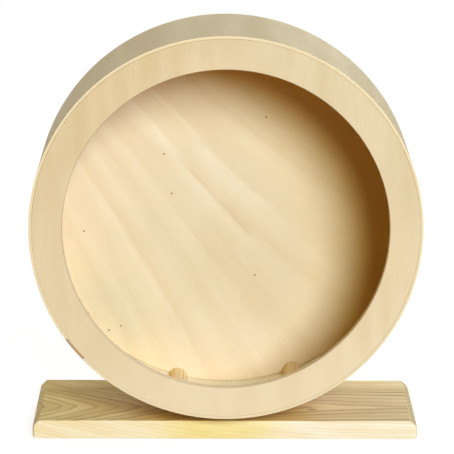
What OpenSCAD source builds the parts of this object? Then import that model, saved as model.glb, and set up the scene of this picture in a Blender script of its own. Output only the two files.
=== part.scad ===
// Wooden exercise wheel for a small rodent, on a base board with an upright behind the wheel.
// Millimetres. The origin is the centre of the base board's underside, +Z is up, and the
// wheel's open front faces -Y. The axle runs along Y.

/* [Wheel] */
// Outside diameter of the wheel
wheel_d = 300; // [240:1:400]
// Depth of the wheel from its front face to its back face
wheel_depth = 100; // [70:1:150]
// Thickness of the bent plywood running track
track_t = 2; // [1.5:0.1:4]
// Width of the flat front ring, inside the track
ring_w = 23.5; // [12:0.5:40]
// Thickness of the front ring
ring_t = 6; // [3:0.5:12]
// Thickness of the back disc
disc_t = 10; // [9:0.5:18]

/* [Track lap joint] */
// Length of the scarf where the ends of the track lap
lap_length = 20; // [10:1:40]
// Angle of the lap joint from the bottom of the wheel, seen from the front, positive to the right
lap_angle = -51; // [-170:1:-30]
// Thickness left at each blunt tip of the scarf
lap_tip = 0.4; // [0.2:0.05:0.6]
// Thickness of the glue line in the scarf
lap_glue = 0.15; // [0.1:0.05:0.3]

/* [Rungs] */
// Number of half-round rungs across the running track
rung_count = 10; // [6:1:12]
// Width of a rung along the track
rung_w = 15.5; // [8:0.5:20]
// Height of a rung above the track
rung_h = 6; // [3:0.5:7]
// Angle from the bottom to the middle between the two lowest rungs, positive to the right
rung_offset = 3.35; // [-15:0.05:15]

/* [Base board] */
// Width of the base board
base_w = 300; // [200:1:420]
// Thickness of the base board
base_t = 15; // [12:0.5:30]
// Chamfer on the top edges of the base board's two ends
base_chamfer = 5; // [1:0.5:10]
// Small chamfer on the base board's four upright corners
corner_chamfer = 1; // [0.5:0.5:5]
// Clear height between the base board and the lowest point of the wheel
wheel_lift = 6; // [3:0.5:30]
// How far the front of the wheel stands out past the front of the base board
wheel_overhang = 14; // [0:0.5:30]

/* [Upright post] */
// Width of the post at the floor
post_w = 110; // [90:1:160]
// Radius of the post's round top, about the axle
post_top_r = 34; // [22:0.5:42]
// Thickness of the post
post_t = 18; // [16:0.5:30]

/* [Hub] */
// Diameter of the hub block on the back of the disc
hub_d = 70; // [60:1:120]
// Thickness of the hub block
hub_t = 10; // [8:0.5:20]
// Chamfer on the hub block's rear edge
hub_chamfer = 1; // [0.5:0.5:3]
// Diameter of the circle that the hub screws stand on
hub_screw_circle = 50; // [40:1:60]

/* [Axle bolt and nuts] */
// Nominal diameter of the axle bolt
bolt_d = 8; // [6:0.1:9]
// Width across flats of the bolt head and the nuts
hex_af = 13; // [12.5:0.1:14]
// Height of the bolt head
head_h = 5.3; // [4:0.1:6]
// How far the bolt's end stands out of the lock nut
bolt_tip = 1.5; // [0.5:0.1:6]
// Outer diameter of the large washer on the hub block
washer_d = 24; // [17:0.5:30]
// Thickness of the large washer
washer_t = 2; // [1:0.1:3]
// Height of the thin nut that clamps the bolt in the hub block
thin_nut_h = 4; // [3:0.1:6]
// Height of the lock nut
lock_nut_h = 8; // [7:0.1:10]
// Thickness of the shim rings at the two ends of the bearings
shim_t = 1; // [0.5:0.1:2]

/* [Bearings] */
// Outer diameter of a bearing
bearing_od = 22; // [21:0.1:24]
// Width of a bearing
bearing_w = 7; // [6.8:0.1:7.8]
// Diameter of the balls
ball_d = 3.9; // [3.4:0.05:4]
// Number of balls in each bearing
ball_count = 7; // [5:1:8]

/* [Wood screws] */
// Shank diameter of the hub screws
hub_screw_d = 3; // [2.5:0.1:4]
// How far the hub screws go into the back disc
hub_screw_bite = 6; // [3:0.5:7]
// Shank diameter of the post screws
post_screw_d = 4.4; // [3.5:0.1:5]
// How far the post screws go into the base board
post_screw_bite = 32; // [16:1:50]
// Distance of the outer post screws from the post's side edges
post_screw_inset = 15; // [12:0.5:25]

/* [Fits] */
// Radial clearance of a screw, bolt or race in its hole
fit = 0.05; // [0.02:0.01:0.1]
// Clearance of the balls in their races and pockets
ball_gap = 0.1; // [0.06:0.01:0.15]
// Glue line between the track and what it is wrapped round
glue = 0.05; // [0.02:0.01:0.1]

/* [Hidden] */
$fn = 96;

// Colours of the materials
birch = "#e9d6aa";
strip_birch = "#f0e2bd";
pine = "#dfc08a";
steel = "#b9bec4";
dark_steel = "#8d949b";
nylon = "#e8e8e0";

// Places along the axle, from the post forwards and backwards
hub_stack = hub_t + washer_t + thin_nut_h + shim_t;
base_d = wheel_depth - wheel_overhang + hub_stack;
post_front = base_d / 2;
post_back = post_front + post_t;
wheel_back = post_front - hub_stack;
wheel_front = wheel_back - wheel_depth;
disc_front = wheel_back - disc_t;
ring_back = wheel_front + ring_t;
hub_back = wheel_back + hub_t;
washer_back = hub_back + washer_t;
thin_nut_back = washer_back + thin_nut_h;
rear_shim_back = post_back + shim_t;
lock_nut_back = rear_shim_back + lock_nut_h;
axle_z = base_t + wheel_lift + wheel_d / 2;

// Wheel
wheel_r = wheel_d / 2;
track_inner_r = wheel_r - track_t;
glued_r = track_inner_r - glue;
opening_r = track_inner_r - ring_w;
lap_steps = 12;
lap_half_angle = lap_length / wheel_r * 90 / PI;
lap_glue_angle = lap_glue / wheel_r * 90 / PI;

// Rungs
rung_pitch = 360 / rung_count;
rung_edge = sqrt(glued_r * glued_r - rung_w * rung_w / 4);
rung_round = (rung_w * rung_w / 4 + rung_h * rung_h) / (2 * rung_h);
rung_axis = rung_edge - rung_h + rung_round;

// Post outline: the sides run from the floor to where they meet the round top
post_slope = atan2(axle_z, post_w / 2);
post_reach = norm([axle_z, post_w / 2]);
post_meet = acos(post_top_r / post_reach) - post_slope;
post_steps = 24;

// Bolt and hub
head_depth = head_h + 0.2;
bolt_seat = wheel_back + head_depth;
bolt_end = lock_nut_back + bolt_tip;
shank_r = bolt_d / 2 - fit;
hex_edge = 0.8;
thread_end = 1;
hub_screw_count = 4;

// Lock nut: a round collar behind the hexagon traps the nylon ring
collar_h = 1.8;
collar_r = hex_af / 2 - 0.5;
collar_lip = 0.4;
insert_r = collar_r - 1;
insert_t = 1.6;

// Bearings: the outer race's land and shield seat, the inner race's land, and the balls' circle
front_bearing = post_front;
rear_bearing = post_back - bearing_w;
spacer_l = post_t - 2 * bearing_w;
bore_r = bolt_d / 2;
race_out_r = bearing_od / 2;
ball_circle_r = (race_out_r + bore_r) / 2;
groove_r = ball_d / 2 + ball_gap;
land_out_r = ball_circle_r + 0.75 * ball_d / 2;
land_in_r = ball_circle_r - 0.75 * ball_d / 2;
shim_r = land_in_r;
spacer_r = land_in_r - 0.5;
shield_seat_r = race_out_r - 1.4;
shield_t = 0.4;
shield_inset = 0.3;
cage_t = 1;
cage_w = ball_d + 1;
race_chamfer = 0.3;
post_hole_r = race_out_r - 2.5;

// Screws
hub_screw_l = hub_t + hub_screw_bite;
post_screw_l = post_t + post_screw_bite;
hub_head_r = hub_screw_d;
post_head_r = post_screw_d;
screw_rim = 0.4;
post_screw_x = post_w / 2 - post_screw_inset;
recess_w = 0.9;
recess_depth = 1.2;

BEARINGS = ["front_bearing", "rear_bearing"];
bearing_places = [front_bearing, rear_bearing];
function rung_name(i) = str("rung_", i < 10 ? "0" : "", i);

// Stands children on the axle at the place y, with their own Z along the axle towards the back and
// their own Y pointing down
module on_axle(y) {
    translate([0, y, axle_z]) rotate([-90, 0, 0]) children();
}

// A plain ring on the axle
module ring(y, outer, inner, thick) {
    on_axle(y) difference() {
        cylinder(r = outer, h = thick);
        translate([0, 0, -1]) cylinder(r = inner, h = thick + 2);
    }
}

// A hexagon with its corners turned off at the chosen ends
module hexagon(h, front_edge, back_edge) {
    corner = hex_af / 2 / cos(30);
    rim = corner - hex_af / 2 + 0.3;
    intersection() {
        cylinder(r = corner, h = h, $fn = 6);
        rotate_extrude() polygon([
            [0, 0], [corner - rim * front_edge, 0], [corner + 0.1, hex_edge * front_edge],
            [corner + 0.1, h - hex_edge * back_edge], [corner - rim * back_edge, h], [0, h]
        ]);
    }
}

// Countersunk wood screw, its head at z = 0 and its point along +Z; grow makes it its own hole
module wood_screw(d, head_r, l, grow = 0) {
    taper = head_r - d / 2;
    rotate_extrude() polygon([
        [0, -grow], [head_r + grow, -grow], [head_r + grow, screw_rim],
        [d / 2 + grow, screw_rim + taper], [d / 2 + grow, l - d], [0, l + grow]
    ]);
}

// Cross-shaped driver recess in a screw's head
module cross_recess(head_r) {
    for (turn = [0, 90])
        rotate([0, 0, turn])
            translate([-head_r * 0.6, -recess_w / 2, -1]) cube([head_r * 1.2, recess_w, recess_depth + 1]);
}

// Places of the hub screws on the back of the hub block
module at_hub_screws() {
    for (i = [0 : hub_screw_count - 1])
        on_axle(hub_back) rotate([0, 0, 45 + i * 360 / hub_screw_count])
            translate([hub_screw_circle / 2, 0, 0]) rotate([180, 0, 0]) children();
}

// Places of the post screws on the back of the post
module at_post_screws() {
    for (x = [-post_screw_x, 0, post_screw_x])
        translate([x, post_back, base_t / 2]) rotate([90, 0, 0]) children();
}

module base_board() {
    color(pine) difference() {
        intersection() {
            translate([0, base_d / 2, 0]) rotate([90, 0, 0]) linear_extrude(base_d) polygon([
                [-base_w / 2, 0], [base_w / 2, 0], [base_w / 2, base_t - base_chamfer],
                [base_w / 2 - base_chamfer, base_t], [base_chamfer - base_w / 2, base_t],
                [-base_w / 2, base_t - base_chamfer]
            ]);
            linear_extrude(base_t) polygon([
                for (side = [[1, 1], [-1, 1], [-1, -1], [1, -1]], first = [0, 1])
                    let (cut_x = (first == (side[0] * side[1] > 0 ? 0 : 1)) ? 0 : corner_chamfer)
                    [side[0] * (base_w / 2 - cut_x), side[1] * (base_d / 2 - corner_chamfer + cut_x)]
            ]);
        }
        at_post_screws() wood_screw(post_screw_d, post_head_r, post_screw_l, fit);
    }
}

// Board with straight sides that run up into a round top about the axle
module upright_post() {
    color(pine) difference() {
        translate([0, post_back, 0]) rotate([90, 0, 0]) linear_extrude(post_t) polygon(concat(
            [[-post_w / 2, 0], [post_w / 2, 0]],
            [for (i = [0 : post_steps])
                let (a = post_meet + (180 - 2 * post_meet) * i / post_steps)
                [post_top_r * cos(a), axle_z + post_top_r * sin(a)]]
        ));
        on_axle(post_front - 1) cylinder(r = race_out_r + fit, h = bearing_w + 1);
        on_axle(post_back - bearing_w) cylinder(r = race_out_r + fit, h = bearing_w + 1);
        on_axle(post_front) cylinder(r = post_hole_r, h = post_t);
        at_post_screws() wood_screw(post_screw_d, post_head_r, post_screw_l, fit);
    }
}

module post_screws() {
    color(steel) at_post_screws() difference() {
        wood_screw(post_screw_d, post_head_r, post_screw_l);
        cross_recess(post_head_r);
    }
}

// The slot that the glue line fills, from the outside of the track to its inside
module lap_slot() {
    function at(angle, r) = [r * sin(angle), r * cos(angle)];
    function side_of(s) = concat(
        [at(-lap_half_angle + s * lap_glue_angle, wheel_r + 1)],
        [for (i = [0 : lap_steps])
            at(-lap_half_angle + s * lap_glue_angle + 2 * lap_half_angle * i / lap_steps,
               wheel_r - lap_tip + s * lap_glue / 2 - (track_t - 2 * lap_tip) * i / lap_steps)],
        [at(lap_half_angle + s * lap_glue_angle, track_inner_r - 1)]
    );
    there = side_of(1);
    back = side_of(-1);
    polygon(concat(there, [for (i = [len(back) - 1 : -1 : 0]) back[i]]));
}

module running_track() {
    color(strip_birch) on_axle(wheel_front) difference() {
        cylinder(r = wheel_r, h = wheel_depth, $fn = 180);
        translate([0, 0, -1]) cylinder(r = track_inner_r, h = wheel_depth + 2, $fn = 180);
        translate([0, 0, -1]) rotate([0, 0, -lap_angle]) linear_extrude(wheel_depth + 2) lap_slot();
    }
}

module front_ring() {
    color(birch) ring(wheel_front, glued_r, opening_r, ring_t);
}

module back_disc() {
    color(birch) difference() {
        on_axle(disc_front) cylinder(r = glued_r, h = disc_t);
        at_hub_screws() wood_screw(hub_screw_d, hub_head_r, hub_screw_l, fit);
    }
}

// Half-round strip from the front ring to the back disc, its flat side on the track
module rung(i) {
    color(strip_birch) on_axle(ring_back)
        rotate([0, 0, -(rung_offset + (i - 0.5) * rung_pitch)])
            linear_extrude(disc_front - ring_back) intersection() {
                translate([0, rung_axis]) circle(r = rung_round);
                translate([-rung_w / 2 - 1, rung_edge - rung_h - 1]) square([rung_w + 2, rung_h + 1]);
            }
}

module hub_block() {
    color(birch) difference() {
        on_axle(wheel_back) rotate_extrude() polygon([
            [0, 0], [hub_d / 2, 0], [hub_d / 2, hub_t - hub_chamfer],
            [hub_d / 2 - hub_chamfer, hub_t], [0, hub_t]
        ]);
        on_axle(wheel_back - 1) cylinder(r = hex_af / 2 / cos(30) + fit, h = head_depth + 1, $fn = 6);
        on_axle(wheel_back) cylinder(r = bolt_d / 2 + fit, h = hub_t + 1);
        at_hub_screws() wood_screw(hub_screw_d, hub_head_r, hub_screw_l, fit);
    }
}

module hub_screws() {
    color(steel) at_hub_screws() difference() {
        wood_screw(hub_screw_d, hub_head_r, hub_screw_l);
        cross_recess(hub_head_r);
    }
}

// Hex bolt, its head against the bottom of the hub block's recess
module axle_bolt() {
    color(steel) union() {
        on_axle(bolt_seat - head_h) hexagon(head_h, 1, 0);
        on_axle(bolt_seat - 1) rotate_extrude() polygon([
            [0, 0], [shank_r, 0], [shank_r, bolt_end - bolt_seat + 1 - thread_end],
            [shank_r - thread_end / 2, bolt_end - bolt_seat + 1], [0, bolt_end - bolt_seat + 1]
        ]);
    }
}

module hub_washer() {
    color(steel) ring(hub_back, washer_d / 2, bolt_d / 2 + fit, washer_t);
}

module hub_nut() {
    color(steel) on_axle(washer_back) difference() {
        hexagon(thin_nut_h, 1, 1);
        translate([0, 0, -1]) cylinder(r = bolt_d / 2, h = thin_nut_h + 2);
    }
}

module front_shim() {
    color(steel) ring(thin_nut_back, shim_r, bore_r, shim_t);
}

module race_spacer() {
    color(dark_steel) ring(front_bearing + bearing_w, spacer_r, bore_r, spacer_l);
}

module rear_shim() {
    color(steel) ring(post_back, shim_r, bore_r, shim_t);
}

// Hexagon with a round collar at the back, which holds a nylon ring
module lock_nut() {
    color(steel) on_axle(rear_shim_back) difference() {
        union() {
            hexagon(lock_nut_h - collar_h, 1, 1);
            rotate_extrude() polygon([
                [0, 0.5], [collar_r, 0.5], [collar_r, lock_nut_h - 0.6],
                [collar_r - 0.6, lock_nut_h], [0, lock_nut_h]
            ]);
        }
        translate([0, 0, -1]) cylinder(r = bolt_d / 2, h = lock_nut_h + 2);
        translate([0, 0, lock_nut_h - collar_lip - insert_t]) cylinder(r = insert_r, h = insert_t);
        translate([0, 0, lock_nut_h - collar_lip - 0.5]) cylinder(r = insert_r - 0.5, h = collar_lip + 1);
    }
}

module lock_nut_insert() {
    color(nylon)
        ring(rear_shim_back + lock_nut_h - collar_lip - insert_t, insert_r - fit, bolt_d / 2, insert_t);
}

// The profile of a race in the half plane, from the inner to the outer radius, without its groove
module race_profile(inner, outer) {
    polygon([
        [inner + race_chamfer, 0], [outer - race_chamfer, 0], [outer, race_chamfer],
        [outer, bearing_w - race_chamfer], [outer - race_chamfer, bearing_w],
        [inner + race_chamfer, bearing_w], [inner, bearing_w - race_chamfer], [inner, race_chamfer]
    ]);
}

module ball_groove() {
    translate([ball_circle_r, bearing_w / 2]) circle(r = groove_r);
}

module outer_race(y) {
    seat_depth = shield_inset + shield_t;
    color(steel) on_axle(y) rotate_extrude() difference() {
        race_profile(land_out_r, race_out_r);
        ball_groove();
        translate([0, -1]) square([shield_seat_r, seat_depth + 1]);
        translate([0, bearing_w - seat_depth]) square([shield_seat_r, seat_depth + 1]);
    }
}

module inner_race(y) {
    color(steel) on_axle(y) rotate_extrude() difference() {
        race_profile(bore_r, land_in_r);
        ball_groove();
    }
}

// The balls' centres, spaced evenly round the axle at the middle of the bearing
module at_balls(y) {
    for (i = [0 : ball_count - 1])
        on_axle(y + bearing_w / 2) rotate([0, 0, i * 360 / ball_count])
            translate([ball_circle_r, 0, 0]) children();
}

module balls(y) {
    color(dark_steel) at_balls(y) sphere(d = ball_d);
}

module cage(y) {
    color(dark_steel) difference() {
        ring(y + (bearing_w - cage_w) / 2, ball_circle_r + cage_t / 2, ball_circle_r - cage_t / 2, cage_w);
        at_balls(y) rotate([0, 90, 0]) cylinder(r = groove_r, h = 3 * cage_t, center = true);
    }
}

module shields(y) {
    color(dark_steel) for (place = [shield_inset, bearing_w - shield_inset - shield_t])
        ring(y + place, shield_seat_r - fit, land_in_r + 0.3, shield_t);
}

base_board();
upright_post();
post_screws();
running_track();
front_ring();
back_disc();
for (i = [1 : rung_count])
    rung(i);
hub_block();
hub_screws();
axle_bolt();
hub_washer();
hub_nut();
front_shim();
race_spacer();
rear_shim();
lock_nut();
lock_nut_insert();
for (b = [0, 1]) {
    outer_race(bearing_places[b]);
    inner_race(bearing_places[b]);
    balls(bearing_places[b]);
    cage(bearing_places[b]);
    shields(bearing_places[b]);
}
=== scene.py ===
"""A wooden exercise wheel for a small rodent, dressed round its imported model. Metres throughout."""
import math

import bmesh
import bpy
from mathutils import Matrix, Vector


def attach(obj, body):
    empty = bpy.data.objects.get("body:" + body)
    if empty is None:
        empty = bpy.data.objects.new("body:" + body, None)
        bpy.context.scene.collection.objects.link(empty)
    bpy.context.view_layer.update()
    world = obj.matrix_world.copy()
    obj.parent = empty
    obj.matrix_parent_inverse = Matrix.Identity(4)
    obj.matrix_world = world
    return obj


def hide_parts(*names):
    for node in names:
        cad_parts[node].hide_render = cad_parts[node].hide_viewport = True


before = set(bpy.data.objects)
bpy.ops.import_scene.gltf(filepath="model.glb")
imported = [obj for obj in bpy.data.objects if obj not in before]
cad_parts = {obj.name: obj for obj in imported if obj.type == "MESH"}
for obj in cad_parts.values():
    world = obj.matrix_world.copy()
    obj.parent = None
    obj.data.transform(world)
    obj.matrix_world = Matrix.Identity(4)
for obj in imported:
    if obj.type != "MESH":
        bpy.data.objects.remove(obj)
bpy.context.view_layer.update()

# The studio: a white floor in a white room. A warm and a cool soft lamp, side by side at the front
# right, reach into the drum, and weaker lamps above, beside and behind light the sides that they
# miss. The camera looks slightly down at the wheel through a long lens.
bpy.context.scene.view_settings.view_transform = "Standard"


def fill(tree, socket, value):
    """Joins a socket to another one, or gives it a value of its own."""
    if isinstance(value, bpy.types.NodeSocket):
        tree.links.new(value, socket)
    else:
        socket.default_value = value


def add_node(tree, kind, *values, **settings):
    """Adds a shader node. Values fill its sockets in order. Settings in small letters set its
    switches, and those with a capital fill the sockets that they name."""
    made = tree.nodes.new("ShaderNode" + kind)
    for name, value in settings.items():
        if name[0].islower():
            setattr(made, name, value)
    for socket, value in zip(made.inputs, values):
        fill(tree, socket, value)
    for name, value in settings.items():
        if name[0].isupper():
            fill(tree, made.inputs[name.replace("_", " ")], value)
    return made


def calc(tree, operation, *values, clamp=False):
    """One sum on numbers, as a socket."""
    return add_node(tree, "Math", *values, operation=operation, use_clamp=clamp).outputs[0]


def measure(tree, operation, *places):
    """The LENGTH, DISTANCE or DOT_PRODUCT of places, as a socket."""
    return add_node(tree, "VectorMath", *places, operation=operation).outputs["Value"]


def own_place(tree):
    """The place of a point in its object."""
    return add_node(tree, "TexCoord").outputs["Object"]


def new_material(name):
    """An empty material and its node tree."""
    material = bpy.data.materials.new(name)
    material.use_nodes = True
    material.node_tree.nodes.clear()
    return material, material.node_tree


def finish_material(tree, surface):
    """Joins the finished surface to the material's output."""
    add_node(tree, "OutputMaterial", surface.outputs[0])


def seen_directly(tree):
    """1 where the camera sees the studio by itself, in a shine or through glass, else 0."""
    ray = add_node(tree, "LightPath").outputs
    seen = calc(tree, "MAXIMUM", ray["Is Camera Ray"], ray["Is Glossy Ray"])
    return calc(tree, "MAXIMUM", seen, ray["Is Transmission Ray"])


def select_nothing():
    bpy.ops.object.select_all(action="DESELECT")


WHEEL_MIDDLE = Vector((0, -0.0155, 0.171))
CAMERA_PLACE = (-0.0124, -1.9378, 0.6571)
CAMERA_TURN = (-0.402, 90 - 14.455, 0.264)
CAMERA_LENS = 202.19

camera_data = bpy.data.cameras.new("long_lens")
camera_data.sensor_width = 36
camera_data.lens = CAMERA_LENS
camera = bpy.data.objects.new("camera", camera_data)
bpy.context.scene.collection.objects.link(camera)
turn_z, turn_x, roll = (math.radians(angle) for angle in CAMERA_TURN)
camera.matrix_world = (Matrix.Translation(CAMERA_PLACE) @ Matrix.Rotation(turn_z, 4, "Z")
                       @ Matrix.Rotation(turn_x, 4, "X") @ Matrix.Rotation(roll, 4, "Z"))
bpy.context.scene.camera = camera

WHITE = (1, 1, 1, 1)
FLOOR_SIZE = 60
FLOOR_DROP = 0.0002
FLOOR_SHADOW = 0.30
SHADOW_FADE = (0.5, 1.5)
LAMPS_ON_FLOOR = 0.5
FLOOR_BOUNCE = (0.30, 0.11, 0.01, 1)
ROOM_LIGHT = (0.016, 0.0095, 0.003, 1)
select_nothing()
bpy.ops.mesh.primitive_plane_add(size=FLOOR_SIZE, location=(0, 0, -FLOOR_DROP))
floor = bpy.context.object
floor.name = "studio_floor"
floor_white, tree = new_material("floor_white")
shadow = add_node(tree, "MapRange", measure(tree, "LENGTH", own_place(tree)), *SHADOW_FADE,
                  FLOOR_SHADOW, 0.0).outputs[0]
lit = calc(tree, "MULTIPLY_ADD", shadow, -LAMPS_ON_FLOOR, 1.0)
glow = add_node(tree, "Emission", Color=WHITE, Strength=lit)
shaded = add_node(tree, "BsdfDiffuse", Color=shadow)
shown = add_node(tree, "AddShader", glow.outputs[0], shaded.outputs[0])
bounced = add_node(tree, "BsdfDiffuse", Color=FLOOR_BOUNCE)
finish_material(tree, add_node(tree, "MixShader", seen_directly(tree), bounced.outputs[0],
                               shown.outputs[0]))
floor.data.materials.append(floor_white)

world = bpy.data.worlds.new("studio_walls")
bpy.context.scene.world = world
world.use_nodes = True
tree = world.node_tree
tree.nodes.clear()
dim = add_node(tree, "Background", Color=ROOM_LIGHT, Strength=1.0)
white = add_node(tree, "Background", Color=WHITE, Strength=1.0)
walls = add_node(tree, "MixShader", seen_directly(tree), dim.outputs[0], white.outputs[0])
add_node(tree, "OutputWorld", walls.outputs[0])


def add_lamp(name, azimuth, elevation, distance, size, level, tint=(1, 1, 1)):
    """A round soft lamp that looks at the wheel; azimuth 0 is the front, 90 the right. A white face
    square to it at the wheel renders at level. Only the front lamps show in the metal's shine."""
    data = bpy.data.lights.new(name, "AREA")
    data.shape = "DISK"
    data.size = size
    data.energy = level * (math.pi * distance) ** 2
    data.color = tint
    lamp = bpy.data.objects.new(name, data)
    bpy.context.scene.collection.objects.link(lamp)
    across, up = math.radians(azimuth), math.radians(elevation)
    towards = Vector((math.sin(across) * math.cos(up), -math.cos(across) * math.cos(up),
                      math.sin(up)))
    lamp.location = WHEEL_MIDDLE + towards * distance
    lamp.rotation_euler = towards.to_track_quat("Z", "Y").to_euler()
    lamp.visible_glossy = azimuth < 90


# Each lamp's azimuth, elevation, distance, size and level, and its tint where it has one.
add_lamp("front_softbox", 19.0, 22.1, 5.0, 2.4, 1.06, (1.0, 0.83, 0.35))
add_lamp("front_cool_lamp", 25.2, 23.3, 5.0, 2.4, 1.08, (0.0, 0.20, 0.685))
add_lamp("top_softbox", 180, 87, 2.0, 0.5, 0.21)
add_lamp("right_softbox", 105, 7, 2.6, 0.8, 0.11)
add_lamp("left_softbox", 255, 7, 2.6, 0.8, 0.11)
add_lamp("rear_softbox", 172, 10, 2.6, 1.4, 0.62)
add_lamp("rear_left_softbox", 222, 10, 2.6, 1.2, 0.30)

# Base board: a planed pine board, its grain running from end to end with the pointed figure of a
# board sawn off-centre. The top edges of its two ends are planed off at 45 degrees.
TOUCH = 0.00001


def name_piece(name):
    """Names the shape that was just added, and puts its size and place into its mesh."""
    piece = bpy.context.object
    piece.name = piece.data.name = name
    bpy.ops.object.transform_apply(location=True, rotation=True, scale=True)
    return piece


def block(name, place, size):
    """Adds a plain block, to be shaped or to cut with."""
    select_nothing()
    bpy.ops.mesh.primitive_cube_add(size=1, location=place, scale=size)
    return name_piece(name)


def take_up(piece):
    """Makes the piece the only one selected."""
    select_nothing()
    piece.select_set(True)
    bpy.context.view_layer.objects.active = piece


def open_piece(piece):
    take_up(piece)
    bpy.ops.object.mode_set(mode="EDIT")


def close_piece():
    bpy.ops.object.mode_set(mode="OBJECT")


def pick(kind, wanted):
    """In edit mode, selects only the VERT, EDGE or FACE parts whose points wanted() accepts."""
    bpy.ops.mesh.select_mode(type=kind)
    shape = bmesh.from_edit_mesh(bpy.context.object.data)
    shape.select_mode = {kind}
    for part in (*shape.verts, *shape.edges, *shape.faces):
        part.select_set(False)
    for part in {"VERT": shape.verts, "EDGE": shape.edges, "FACE": shape.faces}[kind]:
        points = [part.co] if kind == "VERT" else [v.co for v in part.verts]
        if wanted(points):
            part.select_set(True)
    shape.select_flush_mode()
    bmesh.update_edit_mesh(bpy.context.object.data)


def end_edge(ends, height):
    """Whether an edge runs from front to back at this height."""
    return all(abs(p.z - height) < TOUCH for p in ends) and abs(ends[0].x - ends[1].x) < TOUCH


def plane_edges(width, segments, wanted):
    """In edit mode, takes off the edges that wanted() accepts, flat or rounded."""
    pick("EDGE", wanted)
    bpy.ops.mesh.bevel(offset=width, segments=segments)


def saw(place, way, **settings):
    """In edit mode, cuts through all of the piece along the plane at place that faces way."""
    bpy.ops.mesh.select_all(action="SELECT")
    bpy.ops.mesh.bisect(plane_co=place, plane_no=way, **settings)


def merge_points(within):
    """In edit mode, merges the points of the piece that lie this close together."""
    bpy.ops.mesh.select_all(action="SELECT")
    bpy.ops.mesh.remove_doubles(threshold=within)


def apply_modifier(piece, kind, **settings):
    """Adds a modifier with these settings, and applies it."""
    take_up(piece)
    modifier = piece.modifiers.new(kind.lower(), kind)
    for name, value in settings.items():
        setattr(modifier, name, value)
    bpy.ops.object.modifier_apply(modifier=modifier.name)


def smooth_faces(piece, angle=40):
    """Smooths the faces that meet at less than angle, without bending the flats."""
    take_up(piece)
    bpy.ops.object.shade_smooth_by_angle(angle=math.radians(angle))
    apply_modifier(piece, "WEIGHTED_NORMAL", keep_sharp=True)


def ease_edges(piece, width, angle=30):
    """Rounds every edge that is sharper than angle by width."""
    apply_modifier(piece, "BEVEL", width=width, segments=2, limit_method="ANGLE",
                   angle_limit=math.radians(angle), use_clamp_overlap=True)
    smooth_faces(piece)


def dress(piece, material):
    """Gives a piece one material in place of all that it has."""
    piece.data.materials.clear()
    piece.data.materials.append(material)


def plus(tree, first, second):
    return calc(tree, "ADD", first, second)


def minus(tree, first, second):
    return calc(tree, "SUBTRACT", first, second)


def times(tree, first, second):
    return calc(tree, "MULTIPLY", first, second)


def over(tree, first, second):
    return calc(tree, "DIVIDE", first, second)


def size_of(tree, value):
    return calc(tree, "ABSOLUTE", value)


def above(tree, value, limit):
    return calc(tree, "GREATER_THAN", value, limit)


def fade(tree, value, low, high, start=0.0, end=1.0):
    """Runs smoothly from start at low to end at high."""
    return add_node(tree, "MapRange", value, low, high, start, end,
                    interpolation_type="SMOOTHSTEP").outputs[0]


def mix_colour(tree, share, first, second, mode="MIX"):
    """Colour first, with its share of colour second laid over it."""
    made = add_node(tree, "Mix", data_type="RGBA", blend_type=mode)
    for number, value in ((0, share), (6, first), (7, second)):
        fill(tree, made.inputs[number], value)
    return made.outputs[2]


def paint(red, green, blue):
    """A colour as a picture shows it, 0 to 255, as light."""
    return (*(((c / 255 + 0.055) / 1.055) ** 2.4 for c in (red, green, blue)), 1)


def split(tree, place):
    """The three numbers of a place."""
    return add_node(tree, "SeparateXYZ", place).outputs


def join(tree, x, y, z=0.0):
    return add_node(tree, "CombineXYZ", x, y, z).outputs[0]


def calc_place(tree, operation, *places):
    """One sum on places, as a socket."""
    return add_node(tree, "VectorMath", *places, operation=operation).outputs[0]


def noise(tree, place, scale, detail, rough, seed, output=0):
    """Soft random values about 0.5, or colours with output 1."""
    return add_node(tree, "TexNoise", noise_dimensions="4D", Vector=place, W=seed, Scale=scale,
                    Detail=detail, Roughness=rough).outputs[output]


def drawn_noise(tree, place, scales, detail, rough, seed, output=0):
    """Noise with a scale of its own along each direction."""
    return noise(tree, calc_place(tree, "MULTIPLY", place, scales), 1, detail, rough, seed, output)


def sway(tree, place, waves, reach):
    """A place pushed to and fro by noise colours, at most half of reach either way."""
    push = calc_place(tree, "SUBTRACT", waves, (0.5, 0.5, 0.5))
    return calc_place(tree, "ADD", place, calc_place(tree, "MULTIPLY", push, reach))


def start_group(name, inputs, outputs):
    """A shader node group with named vector or number inputs and number outputs."""
    tree = bpy.data.node_groups.new(name, "ShaderNodeTree")
    for title, value in inputs.items():
        kind = "NodeSocketVector" if value is None else "NodeSocketFloat"
        socket = tree.interface.new_socket(title, in_out="INPUT", socket_type=kind)
        if value is not None:
            socket.default_value = value
    for title in outputs:
        tree.interface.new_socket(title, in_out="OUTPUT", socket_type="NodeSocketFloat")
    return tree, tree.nodes.new("NodeGroupInput").outputs, tree.nodes.new("NodeGroupOutput").inputs


def use_group(tree, group, **inputs):
    """Places a group in a material, and gives its outputs."""
    return add_node(tree, "Group", node_tree=group, **inputs).outputs


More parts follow.
